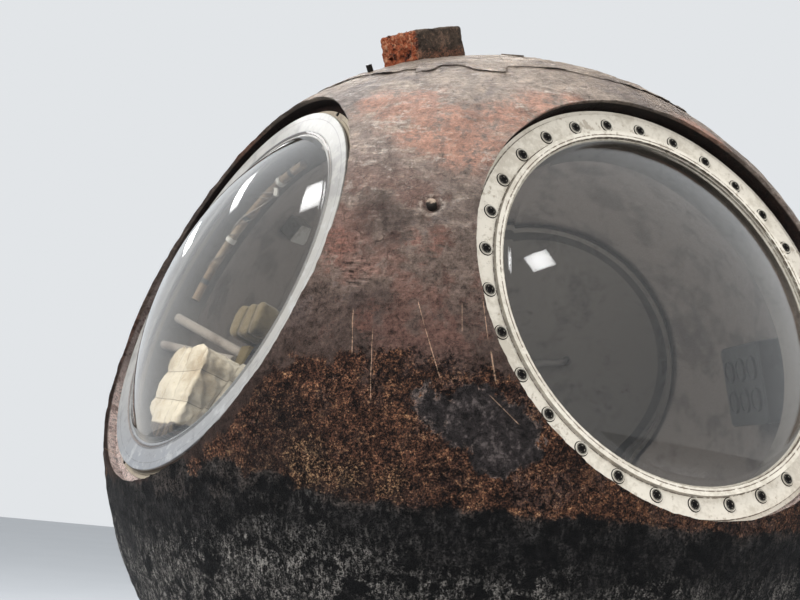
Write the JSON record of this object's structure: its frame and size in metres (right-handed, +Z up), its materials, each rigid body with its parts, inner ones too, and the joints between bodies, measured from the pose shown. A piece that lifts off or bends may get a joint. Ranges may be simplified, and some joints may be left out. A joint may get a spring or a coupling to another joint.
{
  "type": "spherical re-entry capsule",
  "caption": "Charred ball-shaped crew capsule with round hatchways, clear domes, bolt rings, a lift-off rear cover and a seat inside.",
  "frame": {"origin": "on the floor under the centre of the ball", "axes": "+Z up, -Y midway between the two domed hatchways, +X towards the right-hand dome's side"},
  "size_m": [2.2996, 2.2997, 2.3431],
  "materials": {
    "block": "burnt composite block, rough",
    "cable": "brown cloth-wrapped bundle",
    "coaming": "machined, dull",
    "connector": "yellowed cream plastic",
    "cream_fabric": "cream quilted cotton",
    "dark_metal": "heat-blackened steel",
    "deck": "grey satin paint",
    "dome": "blown clear acrylic, glossy",
    "gasket": "pale rubber strip",
    "khaki": "khaki canvas",
    "liner": "grey padded cloth",
    "pad": "brown woven cloth",
    "panel": "grey hammered paint",
    "ring_bare": "bare metal, faint scratches",
    "ring_cream": "old cream paint, worn",
    "seat_metal": "grey satin paint, worn edges",
    "shield": "charred ablative composite, rough, rust brown to black"
  },
  "bodies": {
    "capsule": {"bolt_ring_left": "ring_cream", "bolt_ring_rear": "ring_bare", "bolt_ring_right": "ring_bare", "bundle_clips": "seat_metal", "cabin_deck": "deck", "cabin_liner": "liner", "cable_bundle": "cable", "coaming_left": "coaming", "coaming_rear": "coaming", "coaming_right": "coaming", "dome_left": "dome", "dome_right": "dome", "gasket_left": "gasket", "guide_pin": "dark_metal", "head_pad": "khaki", "head_stem": "seat_metal", "hose_connector": "connector", "instrument_panel": "panel", "knob_stub": "dark_metal", "lamp_box": "panel", "mouth_lining": "cream_fabric", "quilted_cushion": "cream_fabric", "radio_box": "panel", "retainer_right": "ring_bare", "seat_pad": "pad", "seat_pan": "seat_metal", "seat_rails": "seat_metal", "shield_base": "shield", "shield_belt_front": "shield", "shield_belt_left": "shield", "shield_belt_right": "shield", "shield_crown": "shield", "suit_hoses": "cream_fabric", "supply_box_high": "panel", "supply_box_low": "panel", "umbilical_block": "block", "vent_disc": "dark_metal"},
    "rear_cover": {"rear_cover_grip": "ring_bare", "rear_cover_plate": "ring_bare", "rear_cover_shield": "shield"}
  },
  "joints": [
    {"name": "rear_cover_slide", "type": "slide", "parent": "capsule", "child": "rear_cover", "axis": [0, 0.9379, 0.3469], "range_m": [0, 0.4]}
  ]
}
